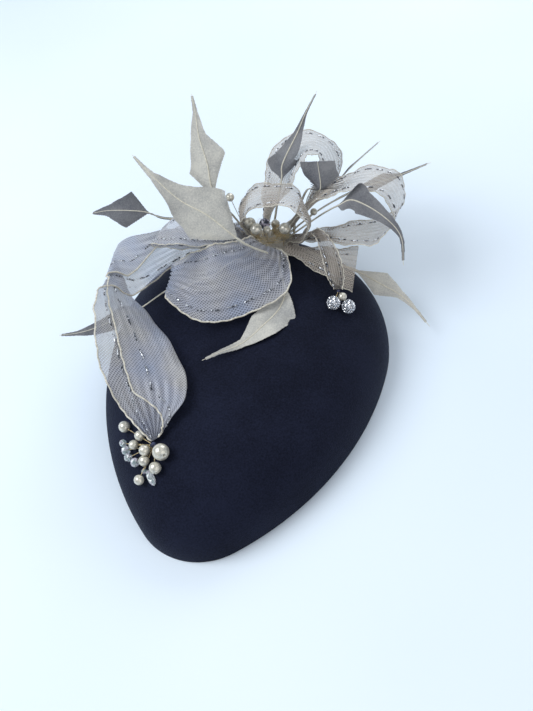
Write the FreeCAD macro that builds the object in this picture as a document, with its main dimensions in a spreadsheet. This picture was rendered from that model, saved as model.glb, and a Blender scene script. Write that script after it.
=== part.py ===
"""Teardrop felt headpiece with a crin-ribbon, feather and bead trim.

The rim stands in the XY plane and the crown rises along +Z.  Y is the plan's
axis of symmetry: the round back is at +Y and the pointed front at -Y.  The
origin is the middle of the head opening, in the plane of the rim.
"""
import FreeCAD, Part
import math
import os
import Sketcher
from FreeCAD import Placement, Rotation, Vector

doc = FreeCAD.newDocument("Fascinator")

# ---------------------------------------------------------------- driving sizes
SIZES = [
    ("back_radius", 95.0, "plan radius of the round back"),
    ("tip_radius", 43.0, "plan radius of the front tip"),
    ("centre_gap", 118.0, "back centre to tip centre"),
    ("back_centre", 32.0, "back centre behind the origin"),
    ("dome_height", 58.0, "crown height over the rim"),
    ("dome_power", 2.3, "roundness of the crown's profile"),
    ("felt_thick", 2.4, "felt"),
    ("hem_depth", 10.0, "turned-in felt at the rim"),
    ("hem_wide", 5.6, "two layers of felt with the wire between"),
    ("wire_dia", 1.4, "millinery wire in the hem"),
    ("wire_room", 1.8, "channel for the wire"),
    ("wire_high", 1.92, "middle of the wire over the rim"),
    ("cloth_gap", 0.3, "gap between one layer and the next"),
    ("lining_thick", 0.5, "lining cloth"),
    ("lining_low", 10.9, "lower edge of the lining"),
    ("band_thick", 0.8, "petersham ribbon"),
    ("band_low", 1.5, "lower edge of the petersham"),
    ("band_wide", 12.5, "width of the petersham"),
    ("pad_radius", 21.0, "buckram pad under the trim"),
    ("pad_thick", 4.0, "pad over the felt"),
    ("pad_back", 97.0, "pad behind the origin"),
    ("pad_below", 12.0, "depth of the disc before the crown is cut out of it"),
    ("seat_inset", -0.15, "pad's seat, just outside the felt"),
    ("ribbon_thick", 0.6, "crin ribbon"),
    ("vane_thick", 0.5, "feather"),
    ("stem_dia", 0.6, "bead wire"),
    ("stem_gap", 0.1, "end of a wire to its bead or knot"),
    ("comb_long", 38.0, "comb spine"),
    ("spine_dia", 2.2, "comb spine"),
    ("tooth_dia", 1.2, "comb tooth"),
    ("tooth_long", 34.0, "comb tooth"),
    ("tooth_count", 10.0, "teeth"),
    ("comb_front", 114.5, "comb spine in front of the origin"),
    ("comb_high", 10.0, "comb spine over the rim"),
    ("comb_tilt", 20.0, "teeth over level, as sewn, in degrees"),
    ("stitch_dia", 0.5, "thread round the comb spine"),
    ("stitch_inset", 3.12, "middle stitch of each group in from the spine's end"),
    ("stitch_pitch", 0.72, "one stitch to the next"),
    ("stitch_room", 0.54, "thread's clearance over the spine"),
    ("eye_dia", 3.4, "thread eye for a hat elastic"),
    ("eye_across", 167.4, "from the outside of one eye to the other"),
    ("eye_back", -10.0, "thread eyes behind the origin"),
]

sizes = doc.addObject("Spreadsheet::Sheet", "Sizes")
for row, (alias, value, note) in enumerate(SIZES, start=1):
    sizes.set("A%d" % row, alias)
    sizes.set("B%d" % row, str(value))
    sizes.set("C%d" % row, note)
    sizes.setAlias("B%d" % row, alias)
doc.recompute()


def size(alias):
    """Current value of one cell."""
    return float(sizes.get(alias))


def bind(thing, prop, expression):
    """Tie one property of a document object to the sheet."""
    thing.setExpression(prop, expression)


nodes = {}


def keep(node, thing):
    """Register a finished sub-part under its node name."""
    thing.Label = node
    nodes[node] = thing
    return thing


# --------------------------------------------------------------- plan and crown
def origin_plane(body, role):
    """One of the body's own origin planes."""
    for feature in body.Origin.OriginFeatures:
        if feature.Role == role:
            return feature
    raise RuntimeError("no plane " + role)


def flat_sketch(body, name, role="XY_Plane"):
    """An empty sketch on an origin plane of the body."""
    sketch = body.newObject("Sketcher::SketchObject", name)
    sketch.AttachmentSupport = [(origin_plane(body, role), "")]
    sketch.MapMode = "FlatFace"
    return sketch


def total(aliases):
    """Sheet expression for the sum of some cells."""
    return " + ".join("Sizes." + alias for alias in aliases) or "0"


def add_plan(sketch, inset=(), share=1.0):
    """Add the teardrop outline: back arc, tip arc and two tangent side arcs.

    inset names the cells whose sum is the distance inside the felt's outer
    outline, and share scales the outline about the origin.
    """
    inset_now = sum(size(alias) for alias in inset)
    back = (size("back_radius") - inset_now) * share
    tip = (size("tip_radius") - inset_now) * share
    gap = size("centre_gap") * share
    centre = size("back_centre") * share
    side = (gap ** 2 + back ** 2 - tip ** 2) / (2 * (back - tip))
    offset = side - back
    turn = math.atan2(gap, offset)

    def arc(x, y, radius, start, end):
        circle = Part.Circle(Vector(x, y, 0), Vector(0, 0, 1), radius)
        return sketch.addGeometry(Part.ArcOfCircle(circle, start, end), False)

    rear = arc(0, centre, back, 0, math.pi)
    left = arc(offset, centre, side, math.pi, math.pi + turn)
    front = arc(0, centre - gap, tip, math.pi + turn, 2 * math.pi - turn)
    right = arc(-offset, centre, side, 2 * math.pi - turn, 2 * math.pi)

    def constrain(*what):
        return sketch.addConstraint(Sketcher.Constraint(*what))

    for first, second in ((rear, left), (left, front), (front, right), (right, rear)):
        constrain("Tangent", first, 2, second, 1)
    constrain("PointOnObject", rear, 3, -2)
    constrain("PointOnObject", front, 3, -2)
    constrain("Horizontal", rear, 3, left, 3)
    constrain("Horizontal", rear, 3, right, 3)
    driven = [
        (constrain("DistanceY", -1, 1, rear, 3, centre), "Sizes.back_centre * %.5f" % share),
        (constrain("DistanceY", front, 3, rear, 3, gap), "Sizes.centre_gap * %.5f" % share),
        (constrain("Radius", rear, back), "(Sizes.back_radius - (%s)) * %.5f" % (total(inset), share)),
        (constrain("Radius", front, tip), "(Sizes.tip_radius - (%s)) * %.5f" % (total(inset), share)),
    ]
    for index, expression in driven:
        bind(sketch, "Constraints[%d]" % index, expression)


CROWN_TOP_ANGLE = math.radians(84)   # the last plan of a crown, a little short of its top
CROWN_STEPS = 8


def crown_profile(start_height):
    """(share of the plan, share of the height) up the crown's rounded profile."""
    power = size("dome_power")
    first = math.asin((start_height / size("dome_height")) ** (power / 2))
    stations = []
    for step in range(CROWN_STEPS + 1):
        angle = first + (CROWN_TOP_ANGLE - first) * step / CROWN_STEPS
        stations.append((math.cos(angle) ** (2 / power), math.sin(angle) ** (2 / power)))
    return stations


def crown_loft(body, kind, name, inset, start_height=0.0):
    """Loft the crown onto the body, inside the felt's outer face by the inset cells."""
    sketches = []
    for number, (share, rise) in enumerate(crown_profile(start_height)):
        sketch = flat_sketch(body, "%s_plan_%d" % (name, number))
        add_plan(sketch, inset, share)
        bind(sketch, "AttachmentOffset.Base.z",
             "(Sizes.dome_height - (%s)) * %.5f" % (total(inset), rise))
        sketches.append(sketch)
    loft = body.newObject(kind, name)
    loft.Profile = sketches[0]
    loft.Sections = sketches[1:]
    doc.recompute()
    return loft


def ring_pad(body, name, outer_inset, inner_inset, low, wide):
    """An upright band between two insets of the teardrop outline."""
    sketch = flat_sketch(body, name + "_plan")
    add_plan(sketch, outer_inset)
    add_plan(sketch, inner_inset)
    bind(sketch, "AttachmentOffset.Base.z", low)
    pad = body.newObject("PartDesign::Pad", name)
    pad.Profile = sketch
    bind(pad, "Length", wide)
    doc.recompute()
    return pad


WIRE_INSET = ("felt_thick", "cloth_gap")


def rim_pipe(body, kind, name, diameter):
    """A round section swept along the wire's line inside the hem."""
    spine = flat_sketch(body, name + "_line")
    add_plan(spine, WIRE_INSET)
    bind(spine, "AttachmentOffset.Base.z", "Sizes.wire_high")
    section = flat_sketch(body, name + "_section", "XZ_Plane")
    bind(section, "AttachmentOffset.Base.z", "-Sizes.back_centre")
    across = size("back_radius") - size("felt_thick") - size("cloth_gap")
    up = size("wire_high")
    circle = section.addGeometry(
        Part.Circle(Vector(across, up, 0), Vector(0, 0, 1), size(diameter) / 2), False)
    for what, expression in (
            (("DistanceX", -1, 1, circle, 3, across),
             "Sizes.back_radius - (%s)" % total(WIRE_INSET)),
            (("DistanceY", -1, 1, circle, 3, up), "Sizes.wire_high"),
            (("Diameter", circle, size(diameter)), "Sizes." + diameter)):
        bind(section, "Constraints[%d]" % section.addConstraint(Sketcher.Constraint(*what)),
             expression)
    pipe = body.newObject(kind, name)
    pipe.Profile = section
    pipe.Spine = (spine, ["Edge1", "Edge2", "Edge3", "Edge4"])
    doc.recompute()
    return pipe


def make_felt_shell():
    """Blocked felt crown with its edge turned in over the wire."""
    body = doc.addObject("PartDesign::Body", "felt_shell")
    crown_loft(body, "PartDesign::AdditiveLoft", "crown_outside", ())
    solid_volume = body.Shape.Volume
    crown_loft(body, "PartDesign::SubtractiveLoft", "crown_inside", ("felt_thick",))
    ring_pad(body, "hem", ("felt_thick",), ("hem_wide",), "0", "Sizes.hem_depth")
    before = body.Shape.Volume
    rim_pipe(body, "PartDesign::SubtractivePipe", "wire_channel", "wire_room")
    print("crown block %.0f, shell %.0f, channel cut %.0f mm3"
          % (solid_volume, body.Shape.Volume, before - body.Shape.Volume))
    keep("felt_shell", body)


def make_edge_wire():
    """Millinery wire that keeps the rim in shape."""
    body = doc.addObject("PartDesign::Body", "edge_wire")
    rim_pipe(body, "PartDesign::AdditivePipe", "wire", "wire_dia")
    keep("edge_wire", body)


CUT_PAST = 1.0   # how far a cutting loft starts below what it hollows


def make_lining():
    """Lining cloth under the felt, down to the top of the hem."""
    body = doc.addObject("PartDesign::Body", "lining")
    low = size("lining_low")
    outside = ("felt_thick", "cloth_gap")
    crown_loft(body, "PartDesign::AdditiveLoft", "lining_outside", outside, low)
    crown_loft(body, "PartDesign::SubtractiveLoft", "lining_inside",
               outside + ("lining_thick",), low - CUT_PAST)
    keep("lining", body)


def make_petersham():
    """Ribbed ribbon sewn inside the rim over the hem's raw edge."""
    body = doc.addObject("PartDesign::Body", "petersham_band")
    outside = ("hem_wide", "cloth_gap")
    ring_pad(body, "band", outside, outside + ("band_thick",), "Sizes.band_low", "Sizes.band_wide")
    keep("petersham_band", body)


# --------------------------------------------------------------------- the comb
def comb_placement():
    """Spine along X, teeth towards the back and up by the sewn tilt."""
    return Placement(Vector(0, -size("comb_front"), size("comb_high")),
                     Rotation(Vector(1, 0, 0), size("comb_tilt")))


def make_comb():
    """Side comb: a round spine with tapered-length straight teeth."""
    body = doc.addObject("PartDesign::Body", "comb")
    spine = flat_sketch(body, "spine_section", "YZ_Plane")
    circle = spine.addGeometry(
        Part.Circle(Vector(0, 0, 0), Vector(0, 0, 1), size("spine_dia") / 2), False)
    spine.addConstraint(Sketcher.Constraint("Coincident", circle, 3, -1, 1))
    index = spine.addConstraint(Sketcher.Constraint("Diameter", circle, size("spine_dia")))
    bind(spine, "Constraints[%d]" % index, "Sizes.spine_dia")
    bar = body.newObject("PartDesign::Pad", "spine")
    bar.Profile = spine
    bar.Midplane = True
    bind(bar, "Length", "Sizes.comb_long")

    tooth = flat_sketch(body, "tooth_section", "XZ_Plane")
    edge = size("comb_long") / 2 - size("tooth_dia")
    circle = tooth.addGeometry(
        Part.Circle(Vector(-edge, 0, 0), Vector(0, 0, 1), size("tooth_dia") / 2), False)
    tooth.addConstraint(Sketcher.Constraint("PointOnObject", circle, 3, -1))
    index = tooth.addConstraint(Sketcher.Constraint("DistanceX", circle, 3, -1, 1, edge))
    bind(tooth, "Constraints[%d]" % index, "Sizes.comb_long / 2 - Sizes.tooth_dia")
    index = tooth.addConstraint(Sketcher.Constraint("Diameter", circle, size("tooth_dia")))
    bind(tooth, "Constraints[%d]" % index, "Sizes.tooth_dia")
    pad = body.newObject("PartDesign::Pad", "tooth")
    pad.Profile = tooth
    pad.Reversed = True
    bind(pad, "Length", "Sizes.tooth_long")
    doc.recompute()

    row = body.newObject("PartDesign::LinearPattern", "teeth")
    row.Originals = [pad]
    row.Direction = (tooth, ["H_Axis"])
    bind(row, "Length", "Sizes.comb_long - 2 * Sizes.tooth_dia")
    row.Occurrences = int(size("tooth_count"))
    body.Tip = row
    body.Placement = comb_placement()
    doc.recompute()
    keep("comb", body)


def thread_loop(name, across):
    """Oval of thread round the spine at one place, reaching the petersham."""
    ring_x = abs(across)
    band_reach = size("tip_radius") - size("hem_wide") - size("cloth_gap") - size("band_thick")
    tip_centre = size("centre_gap") - size("back_centre")
    band_y = tip_centre + math.sqrt(band_reach ** 2 - ring_x ** 2)
    rear = size("comb_front") - (size("spine_dia") + size("cloth_gap") + size("stitch_dia")) / 2
    front = band_y - size("stitch_dia") / 2 - size("cloth_gap") / 2
    oval = doc.addObject("Part::Ellipse", name + "_path")
    oval.MajorRadius = (front - rear) / 2
    bind(oval, "MinorRadius", "Sizes.spine_dia / 2 + Sizes.stitch_dia / 2 + Sizes.stitch_room")
    oval.Placement = Placement(Vector(across, -(front + rear) / 2, size("comb_high")),
                               Rotation(Vector(0, 1, 0), Vector(0, 0, 1), Vector(1, 0, 0), "ZXY"))
    section = doc.addObject("Part::Circle", name + "_section")
    bind(section, "Radius", "Sizes.stitch_dia / 2")
    section.Placement = Placement(Vector(across, -front, size("comb_high")), Rotation())
    loop = doc.addObject("Part::Sweep", name)
    loop.Sections = [section]
    loop.Spine = (oval, ["Edge1"])
    loop.Solid = True
    return loop


def make_comb_stitches():
    """Thread loops that sew each end of the comb's spine to the petersham."""
    reach = size("comb_long") / 2 - size("stitch_inset")
    loops = []
    for side in (-1, 1):
        for turn in (-1, 0, 1):
            across = side * reach + turn * size("stitch_pitch")
            loops.append(thread_loop("stitch_%d" % len(loops), across))
    group = doc.addObject("Part::Compound", "comb_stitches")
    group.Links = loops
    keep("comb_stitches", group)


def make_elastic_loops():
    """A small thread eye on each side of the petersham, for a hat elastic."""
    eyes = []
    for number, side in enumerate((-1, 1)):
        eye = doc.addObject("Part::Torus", "elastic_eye_%d" % number)
        bind(eye, "Radius1", "Sizes.eye_dia / 2")
        bind(eye, "Radius2", "Sizes.stitch_dia / 2")
        across = size("eye_across") / 2 - size("eye_dia") / 2 - size("stitch_dia") / 2
        eye.Placement = Placement(Vector(side * across, size("eye_back"), size("band_wide") / 2),
                                  Rotation())
        eyes.append(eye)
    group = doc.addObject("Part::Compound", "elastic_loops")
    group.Links = eyes
    keep("elastic_loops", group)


# ----------------------------------------------------------------- the trim pad
def make_trim_pad():
    """Buckram disc whose underside follows the crown."""
    share = size("pad_back") / (size("back_centre") + size("back_radius"))
    power = size("dome_power")
    height = size("dome_height") * (1 - share ** power) ** (1 / power)
    slope = (size("dome_height") / (size("back_centre") + size("back_radius"))
             * share ** (power - 1) * (1 - share ** power) ** (1 / power - 1))
    lean = -math.degrees(math.atan(slope))
    turn = Rotation(Vector(1, 0, 0), lean)
    foot = Vector(0, size("pad_back"), height) - turn.multVec(Vector(0, 0, size("pad_below")))

    disc = doc.addObject("Part::Cylinder", "pad_disc")
    bind(disc, "Radius", "Sizes.pad_radius")
    bind(disc, "Height", "Sizes.pad_thick + Sizes.pad_below")
    disc.Placement = Placement(foot, turn)

    block = doc.addObject("PartDesign::Body", "pad_block")
    crown_loft(block, "PartDesign::AdditiveLoft", "pad_seat", ("seat_inset",))
    cut = doc.addObject("Part::Cut", "trim_pad")
    cut.Base = disc
    cut.Tool = block
    doc.recompute()
    keep("trim_pad", cut)


# ------------------------------------------------------- ribbons and feathers
# Each station is (centre of the strip), (direction across it), width in mm.
RIBBONS = {
    "left_tail_ribbon": [
        ((-13, 105, 43), (0, 9, -4), 8),
        ((-25, 103, 49), (0, 9, -3), 14),
        ((-40, 84, 57), (0, 10, -1), 28),
        ((-57, 70, 59), (-1, 10, 0), 38),
        ((-73, 42, 70), (-2, 10, 1), 50),
        ((-84, 29, 80), (-3, 9, -3), 50),
        ((-75, 5, 83), (0, 7, -7), 50),
        ((-56, -20, 80), (5, 6, -6), 50),
        ((-42, -40, 71), (9, 4, -4), 52),
        ((-32, -57, 61), (10, 3, 0), 42),
        ((-28, -68, 54), (9, 3, 2), 22),
        ((-26, -76.3, 48.6), (8, 5, 3), 5.5),
    ],
    "left_loop_ribbon": [
        ((-13, 92, 49), (0, -9, 4), 8),
        ((-18, 84, 62), (1, -9, 0), 14),
        ((-25, 73, 78), (3, -10, 0), 28),
        ((-36, 60, 92), (2, -9, 2), 44),
        ((-48, 52, 96), (2, -9, 4), 46),
        ((-57, 50, 92), (2, -8, 5), 46),
        ((-55, 55, 83.5), (2, -9, 5), 42),
        ((-44, 67.5, 73.5), (2, -9, 3), 34),
        ((-30, 79, 61), (2, -10, 1), 20),
        ((-17, 93, 49), (0, -9, 4), 7),
    ],
    "front_loop_ribbon": [
        ((4, 84, 53), (10, 0, 0), 9),
        ((6, 77, 62), (10, -1, -3), 16),
        ((11, 67, 70), (9, -3, -3), 32),
        ((9, 49, 73), (8, -4, -4), 48),
        ((-6, 33, 76), (5, -7, -5), 50),
        ((-24, 26, 74), (3, -9, -4), 48),
        ((-40, 31, 71), (2, -10, 1), 48),
        ((-49, 34, 67), (2, -10, 3), 36),
        ((-46, 43, 60), (2, -9, 3), 32),
        ((-32, 58, 56), (2, -10, 2), 26),
        ((-16, 72, 56), (3, -9, 2), 12),
        ((-6, 85, 53.7), (3, -9, 4), 8),
    ],
    "centre_arch_ribbon": [
        ((-8, 99, 46), (0, -9, 4), 9),
        ((-12, 96, 58), (1, -9, 4), 14),
        ((-15, 92, 73), (3, -8, 5), 30),
        ((-7, 93, 88), (3, -8, 4), 44),
        ((9, 97, 92), (3, -8, 4), 48),
        ((25, 98, 86), (3, -9, 4), 48),
        ((32, 91, 73), (2, -8, 5), 34),
        ((27, 94, 58), (1, -9, 5), 18),
        ((15, 97, 47), (0, -9, 4), 8),
    ],
    "back_loop_ribbon": [
        ((-5, 107, 42), (0, -9, 4), 9),
        ((-6, 118, 52), (5, -7, 5), 20),
        ((-1, 128, 63), (7, -5, 6), 36),
        ((3, 137, 75), (7, -5, 6), 48),
        ((7, 147, 85), (6, -7, 4), 52),
        ((19, 155, 88), (3, -9, 4), 52),
        ((30, 158, 80), (0, -9, 5), 50),
        ((33, 154, 62), (-2, -8, 6), 42),
        ((20, 136, 46), (-1, -8, 5), 24),
        ((4, 108, 42), (0, -9, 4), 9),
    ],
    "right_loop_ribbon": [
        ((8, 104, 43.5), (0, -9, 4), 7),
        ((20, 115, 57), (0, -9, 4), 16),
        ((32, 123, 68), (0, -9, 4), 27),
        ((48, 128, 78), (0, -9, 4), 46),
        ((66, 132, 82), (0, -9, 4), 52),
        ((82, 130, 78), (0, -9, 4), 52),
        ((88, 122, 67), (0, -9, 4), 52),
        ((80, 114, 55), (0, -9, 4), 52),
        ((63, 109, 52), (1, -9, 4), 46),
        ((42, 108, 49), (1, -9, 4), 28),
        ((15, 106, 42.5), (0, -9, 4), 7),
    ],
    "right_band_ribbon": [
        ((15, 87, 52), (-1, 9, -4), 8),
        ((33, 85, 50), (-1, 10, -3), 24),
        ((51, 80, 50), (-1, 10, -2), 36),
        ((66, 78, 49), (-1, 10, 0), 40),
    ],
    "right_tail_ribbon": [
        ((38, 84, 76), (7, 6, 2), 5),
        ((45, 78, 76), (8, 5, 1), 8),
        ((52, 69, 70), (9, 3, 0), 11),
        ((57, 59, 62), (10, 3, -1), 11),
        ((59.6, 53.8, 55), (10, 3, -1), 5),
    ],
}

FEATHERS = {
    "short_left_feather": [
        ((-18, 97, 47.2), (-1, 8, 6), 1.1),
        ((-31, 95.5, 60), (-1, 8, 6), 1.1),
        ((-46, 89, 68), (-1, 8, 6), 1.1),
        ((-64, 76, 80), (-1, 7, 7), 1.2),
        ((-73, 72, 88), (-1, 7, 7), 1.6),
        ((-84, 68, 92), (1, 7, 7), 24),
        ((-97, 64, 94), (1, 7, 7), 7),
        ((-107, 60, 94), (-1, 8, 6), 0.7),
    ],
    "long_left_feather": [
        ((12, 61, 74), (5, 8, 4), 1.2),
        ((6, 48, 93), (5, 8, 4), 1.4),
        ((-1, 44, 104), (4, 8, 4), 1.8),
        ((-18, 46, 119), (4, 8, 4), 37),
        ((-35, 47, 129), (0, 9, 5), 20),
        ((-51, 51, 143), (6, 7, 4), 4),
        ((-64, 57, 153), (6, 7, 4), 0.7),
    ],
    "tall_left_feather": [
        ((-11, 96, 47.4), (10, 3, -1), 1.1),
        ((-21, 94, 70), (9, 3, 0), 1.2),
        ((-31, 91, 94), (9, 5, 1), 1.7),
        ((-36, 101, 110), (8, 5, 3), 27),
        ((-43, 112, 123), (10, 3, 0), 10),
        ((-47, 123, 133), (9, 3, 0), 3),
        ((-51, 132, 141), (10, 3, -1), 0.7),
    ],
    "tall_right_feather": [
        ((0, 106, 42.5), (10, 1, 1), 1.1),
        ((3, 107, 56), (10, 0, 3), 1.2),
        ((5, 114, 70), (10, 0, 3), 1.2),
        ((6, 125, 80), (9, 0, 4), 1.8),
        ((6, 131.5, 88), (9, -2, 3), 24),
        ((14, 147, 103), (9, 3, 3), 7),
        ((18, 156, 112), (9, 4, 3), 2.4),
        ((24, 168, 122), (8, 5, 1), 0.7),
    ],
    "square_feather": [
        ((14.5, 111.5, 40.2), (10, 3, -1), 1.1),
        ((15, 118.2, 50), (10, 3, -1), 1.2),
        ((24, 122, 74), (10, 3, -1), 1.2),
        ((34, 112, 84), (10, 3, -1), 1.6),
        ((37, 112, 89), (10, 3, -1), 21),
        ((34, 120, 103), (10, 3, -1), 23),
    ],
    "back_right_feather": [
        ((0, 114, 38.4), (5, 8, 4), 1.1),
        ((19, 146, 36), (5, 8, 4), 1.3),
        ((33, 172, 38), (5, 8, 4), 1.8),
        ((37, 178, 40), (5, 8, 4), 12),
        ((45, 187, 45), (5, 8, 4), 3.5),
        ((59, 203, 52), (5, 8, 4), 0.7),
    ],
    "far_right_feather": [
        ((10, 113.5, 38.9), (3, 8, 5), 1.1),
        ((30, 134, 46), (3, 8, 5), 1.3),
        ((51, 150, 51), (3, 8, 5), 1.8),
        ((66, 157, 54), (3, 8, 5), 14),
        ((80, 163, 57), (3, 8, 5), 3),
        ((101, 174, 62), (3, 8, 5), 0.7),
    ],
    "hooked_feather": [
        ((11.5, 104, 43.4), (2, 8, 5), 1.1),
        ((20, 107, 50), (2, 8, 5), 1.2),
        ((30, 110, 58), (2, 8, 5), 1.2),
        ((40, 107, 70), (2, 8, 5), 1.2),
        ((53, 95, 90), (4, 8, 5), 1.7),
        ((63, 96, 95), (3, 9, 4), 20),
        ((82, 93, 87), (3, 9, 4), 9),
        ((95, 87, 76), (9, 5, 1), 2.5),
        ((99, 74, 63), (10, 3, -1), 0.7),
    ],
    "low_right_feather": [
        ((18.5, 94, 48.9), (2, 8, 5), 1.1),
        ((45, 91, 40), (2, 8, 5), 1.2),
        ((65, 90, 33), (3, 8, 5), 1.7),
        ((81, 86, 28), (4, 7, 5), 17),
        ((95, 82, 24), (5, 8, 4), 5.5),
        ((106, 76, 19), (6, 7, 4), 2),
        ((118, 68, 11), (7, 7, 3), 0.7),
    ],
    "front_feather": [
        ((12, 82, 54), (10, 3, -1), 1.1),
        ((20, 58, 59), (10, 3, -1), 1.2),
        ((27, 43, 60), (10, 1, -2), 1.8),
        ((26, 29, 57.5), (9, -3, -2), 22),
        ((20, 12, 60), (8, -4, -2), 19),
        ((11, -4, 60.5), (6, -6, -5), 5),
        ((-1, -15, 62), (5, -6, -6), 2),
        ((-10, -23, 62), (5, -6, -6), 0.7),
    ],
    "low_left_feather": [
        ((-13, 84, 53.4), (1, 8, 6), 1.1),
        ((-20, 74, 51.6), (1, 8, 6), 1.1),
        ((-34, 57, 52.5), (3, 8, 5), 1.1),
        ((-54, 37, 52.5), (4, 8, 5), 1.2),
        ((-70, 24, 46), (4, 8, 5), 2),
        ((-84, 14, 44), (2, 8, 5), 18),
        ((-97, 5, 42), (1, 8, 6), 9),
        ((-109, 0, 40), (1, 8, 6), 3),
        ((-121, -4, 40), (1, 8, 6), 0.7),
    ],
}


def strip_sections(name, stations, thickness):
    """One rectangle sketch at each station, square to the strip's run."""
    sections = []
    last = len(stations) - 1
    for number, (centre, across, width) in enumerate(stations):
        before = Vector(*stations[max(number - 1, 0)][0])
        after = Vector(*stations[min(number + 1, last)][0])
        run = (after - before).normalize()
        side = Vector(*across)
        side = (side - run * side.dot(run)).normalize()
        sketch = doc.addObject("Sketcher::SketchObject", "%s_section_%d" % (name, number))
        thick = size(thickness)
        corners = [Vector(-width / 2, -thick / 2, 0), Vector(width / 2, -thick / 2, 0),
                   Vector(width / 2, thick / 2, 0), Vector(-width / 2, thick / 2, 0)]
        for index in range(4):
            sketch.addGeometry(Part.LineSegment(corners[index], corners[(index + 1) % 4]), False)
        rules = [("Coincident", 0, 2, 1, 1), ("Coincident", 1, 2, 2, 1),
                 ("Coincident", 2, 2, 3, 1), ("Coincident", 3, 2, 0, 1),
                 ("Horizontal", 0), ("Horizontal", 2), ("Vertical", 1), ("Vertical", 3),
                 ("Symmetric", 0, 1, 2, 1, -1, 1)]
        for rule in rules:
            sketch.addConstraint(Sketcher.Constraint(*rule))
        index = sketch.addConstraint(Sketcher.Constraint("DistanceY", 1, 1, 1, 2, thick))
        bind(sketch, "Constraints[%d]" % index, "Sizes." + thickness)
        sketch.addConstraint(Sketcher.Constraint("DistanceX", 0, 1, 0, 2, width))
        sketch.Placement = Placement(Vector(*centre), Rotation(side, run.cross(side), run, "ZXY"))
        sections.append(sketch)
    return sections


def make_feathers():
    """Loft every feather straight from section to section."""
    for node, stations in FEATHERS.items():
        loft = doc.addObject("Part::Loft", node)
        loft.Sections = strip_sections(node, stations, "vane_thick")
        loft.Solid = True
        loft.Ruled = True
        keep(node, loft)


def smooth_curve(points):
    """A curve through the points; its slope at each follows that point's neighbours."""
    slopes = [points[1] - points[0]]
    for before, after in zip(points, points[2:]):
        slopes.append((after - before) * 0.5)
    slopes.append(points[-1] - points[-2])
    poles = [points[0], points[0] + slopes[0] / 3]
    for point, slope in zip(points[1:-1], slopes[1:-1]):
        poles.append(point - slope / 3)
        poles.append(point + slope / 3)
    poles.append(points[-1] - slopes[-1] / 3)
    poles.append(points[-1])
    inner = len(points) - 2
    curve = Part.BSplineCurve()
    curve.buildFromPolesMultsKnots(poles, [4] + [2] * inner + [4], list(range(inner + 2)),
                                   False, 3)
    return curve.toShape()


def strip_rails(stations, thickness):
    """The four corner curves of a strip, smooth through every station."""
    last = len(stations) - 1
    corners = []
    for number, (centre, across, width) in enumerate(stations):
        middle = Vector(*centre)
        before = Vector(*stations[max(number - 1, 0)][0])
        after = Vector(*stations[min(number + 1, last)][0])
        side = Vector(*across).normalize() * (width / 2)
        up = (after - before).cross(side).normalize() * (thickness / 2)
        corners.append((middle - side - up, middle + side - up,
                        middle + side + up, middle - side + up))
    return [smooth_curve([four[corner] for four in corners]) for corner in range(4)]


SAME_WAY = 1   # join the two rails start to start


def make_ribbons():
    """Smooth strips: a lofted solid would twist where a loop turns back on itself."""
    for node, stations in RIBBONS.items():
        rails = strip_rails(stations, size("ribbon_thick"))
        faces = []
        for corner in range(4):
            faces.append(Part.makeRuledSurface(rails[corner], rails[(corner + 1) % 4], SAME_WAY))
        for end in (0, -1):
            ends = [rail.Vertexes[end].Point for rail in rails]
            faces.append(Part.Face(Part.makePolygon(ends + ends[:1])))
        skin = Part.makeShell(faces)
        skin.sewShape()
        solid = Part.makeSolid(Part.Shell(skin.Faces))
        if solid.Volume < 0:
            solid.reverse()
        strip = doc.addObject("Part::Feature", node)
        strip.Shape = solid
        keep(node, strip)


# ------------------------------------------------------------------- the beads
CENTRE_PEARLS = [((-8, 88.5, 71), 8.0), ((-2, 83, 72), 8.0), ((4, 87, 68), 5.2),
                 ((16, 89, 69), 8.0), ((6, 100, 61), 6.0)]
CENTRE_CRYSTALS = [((0, 95, 65), 8.0)]
CENTRE_FEET = [(-4, 93, 49), (-2, 89, 51), (2, 91, 50), (13, 90.5, 50), (3, 100, 45.6),
               (-1, 97, 47)]
WIRED_PEARLS = [((-23, 98, 84), 6.0), ((29, 117, 59), 5.0)]
WIRED_FEET = [(-14.5, 98.5, 46), (11, 109, 41)]
MESH_TUFT = ((10.5, 93.2, 61.5), 8.4)

SPRAY_KNOT = (-26.2, -79.6, 47)
SPRAY_PEARLS = [((-51, -67, 41.5), 7.4), ((-37.5, -74, 45.8), 6.6), ((-40.5, -79, 42.2), 6.2),
                ((-30.3, -84.8, 48), 6.8), ((-30, -89.3, 43.2), 6.8), ((-21, -93.7, 45.1), 7.6),
                ((-31, -99.5, 37.4), 6.4)]
SPRAY_LARGE = [((-19, -85.5, 50.6), 10.5)]
SPRAY_CRYSTALS = [((-46, -81, 37.4), 6.0), ((-49.5, -76.5, 37.5), 5.0), ((-37, -89, 38.8), 6.0),
                  ((-42.8, -85.6, 37.2), 5.6), ((-29.4, -93.8, 38.6), 3.6)]
LEAF_ENDS = ((-27, -93.6, 40.4), (-20, -102, 38.4))
LEAF_WIDE = 4.8
LEAF_THICK = 3.2

TAIL_PEARL = [((63, 51, 51.4), 5.6)]
RHINESTONE_BALLS = [((58.3, 44.2, 52.2), 9.2), ((67.8, 45.6, 48.6), 9.2)]
TAIL_KNOT = (60, 53, 53.9)


def make_balls(node, beads):
    """A group of round beads, one solid each."""
    balls = []
    for number, (centre, diameter) in enumerate(beads):
        ball = doc.addObject("Part::Sphere", "%s_%d" % (node, number))
        ball.Radius = diameter / 2
        ball.Placement = Placement(Vector(*centre), Rotation())
        balls.append(ball)
    group = doc.addObject("Part::Compound", node)
    group.Links = balls
    keep(node, group)


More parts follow.
